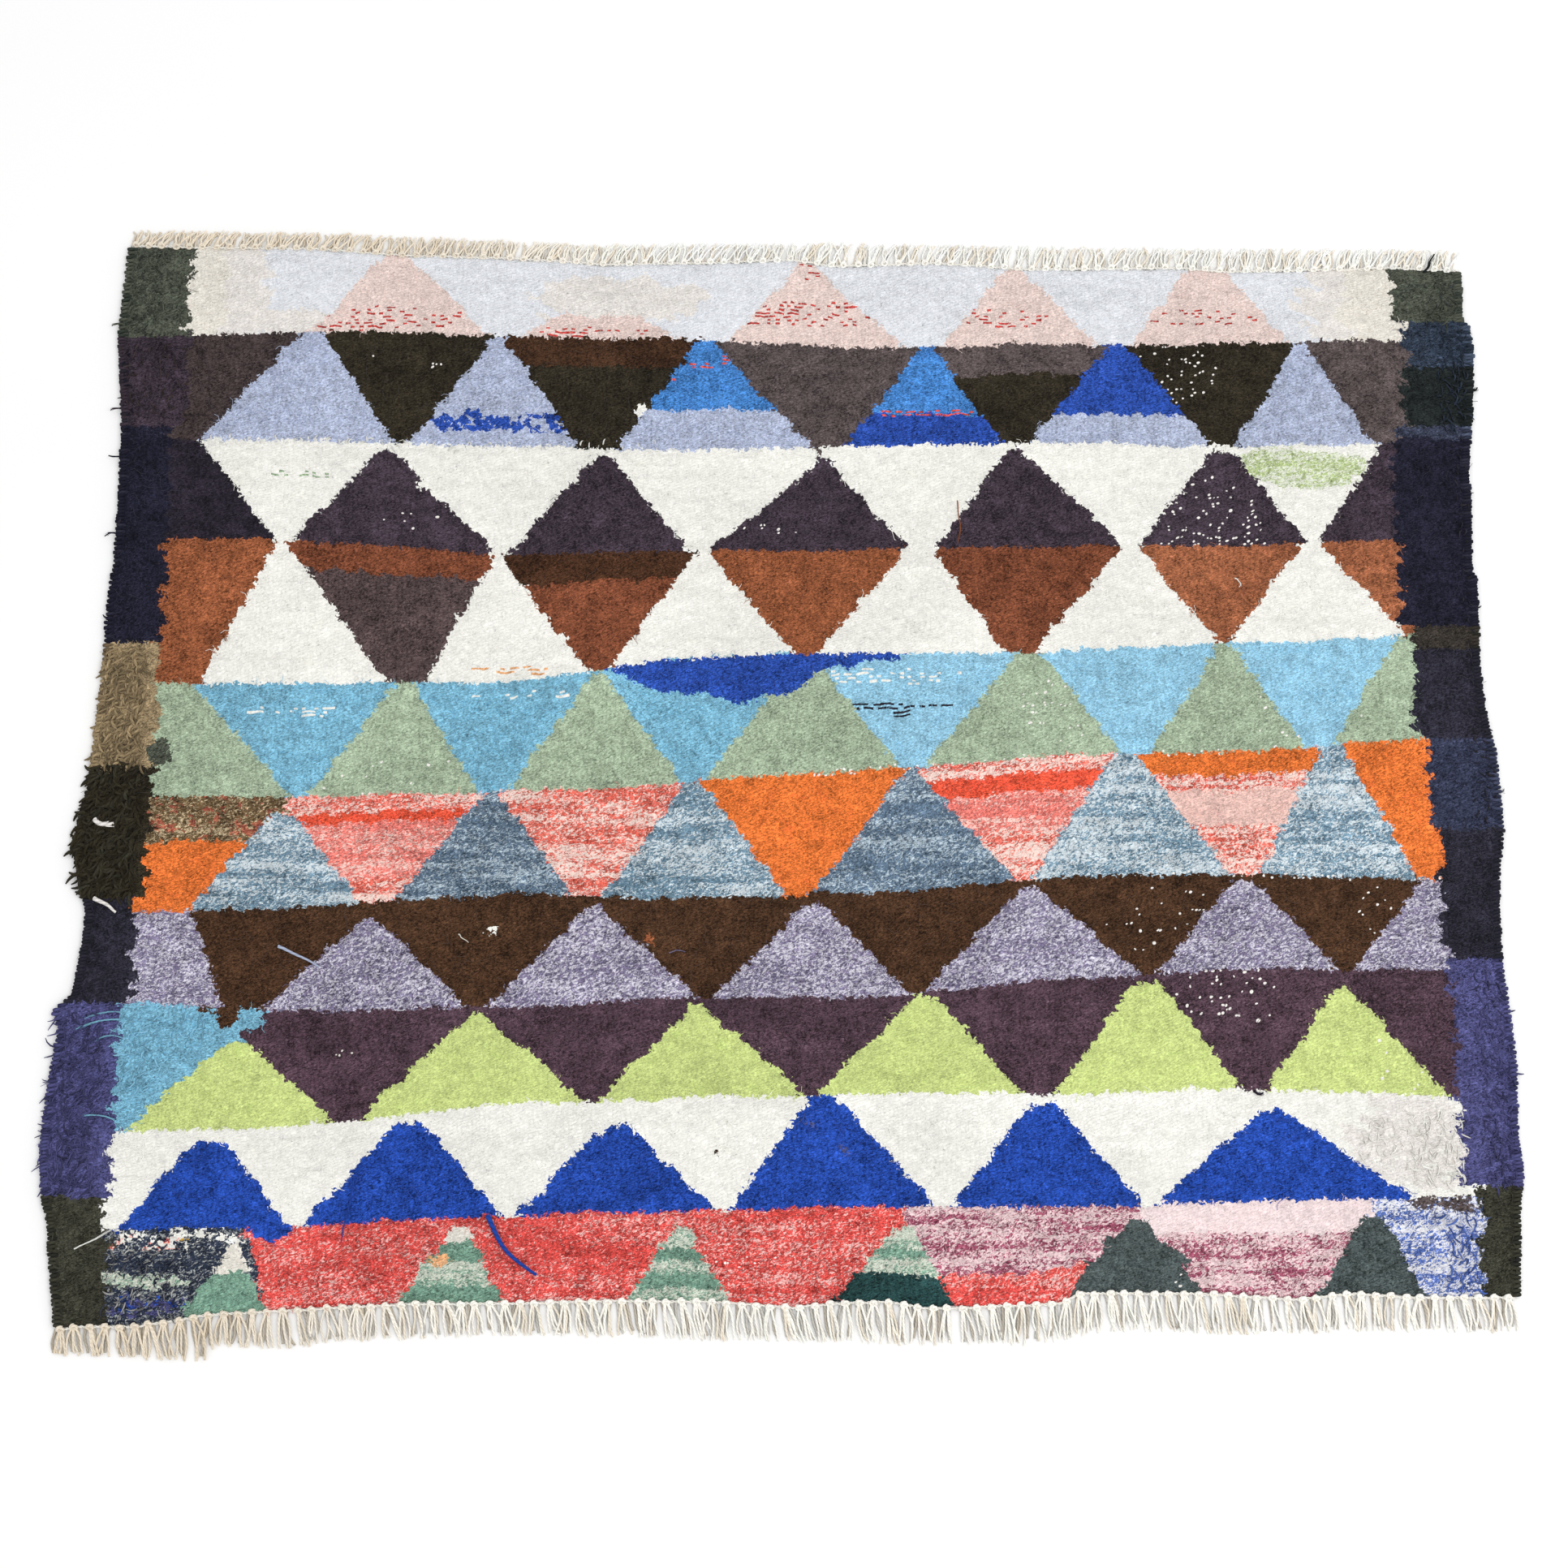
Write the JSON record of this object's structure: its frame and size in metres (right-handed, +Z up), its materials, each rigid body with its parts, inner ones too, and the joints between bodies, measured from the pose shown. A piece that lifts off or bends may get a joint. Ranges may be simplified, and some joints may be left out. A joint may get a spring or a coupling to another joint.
{
  "type": "boucherouite rug",
  "caption": "Flat hand-woven wool rug of coloured triangles in rows, with dark side borders, uneven edges and a short knotted warp fringe at both ends.",
  "frame": {"origin": "middle of the box round the rug and its fringes, on the surface that the rug lies on", "axes": "+X along the weft, the rug's wide way; +Y along the warp, towards the far end; +Z up, out of the rug's face"},
  "size_m": [1.53, 1.2381, 0.005],
  "materials": {
    "wool": "matt weft-faced plain weave in many wool and rag colours, fuzzy",
    "cotton_warp": "matt undyed cotton warp yarn, knotted in bunches",
    "cotton_twine": "matt undyed two-strand cotton twine"
  },
  "bodies": {
    "root": {"rug_cloth": "wool", "end_cord_far": "cotton_twine", "end_cord_near": "cotton_twine", "fringe_far": "cotton_warp", "fringe_near": "cotton_warp"}
  },
  "joints": []
}
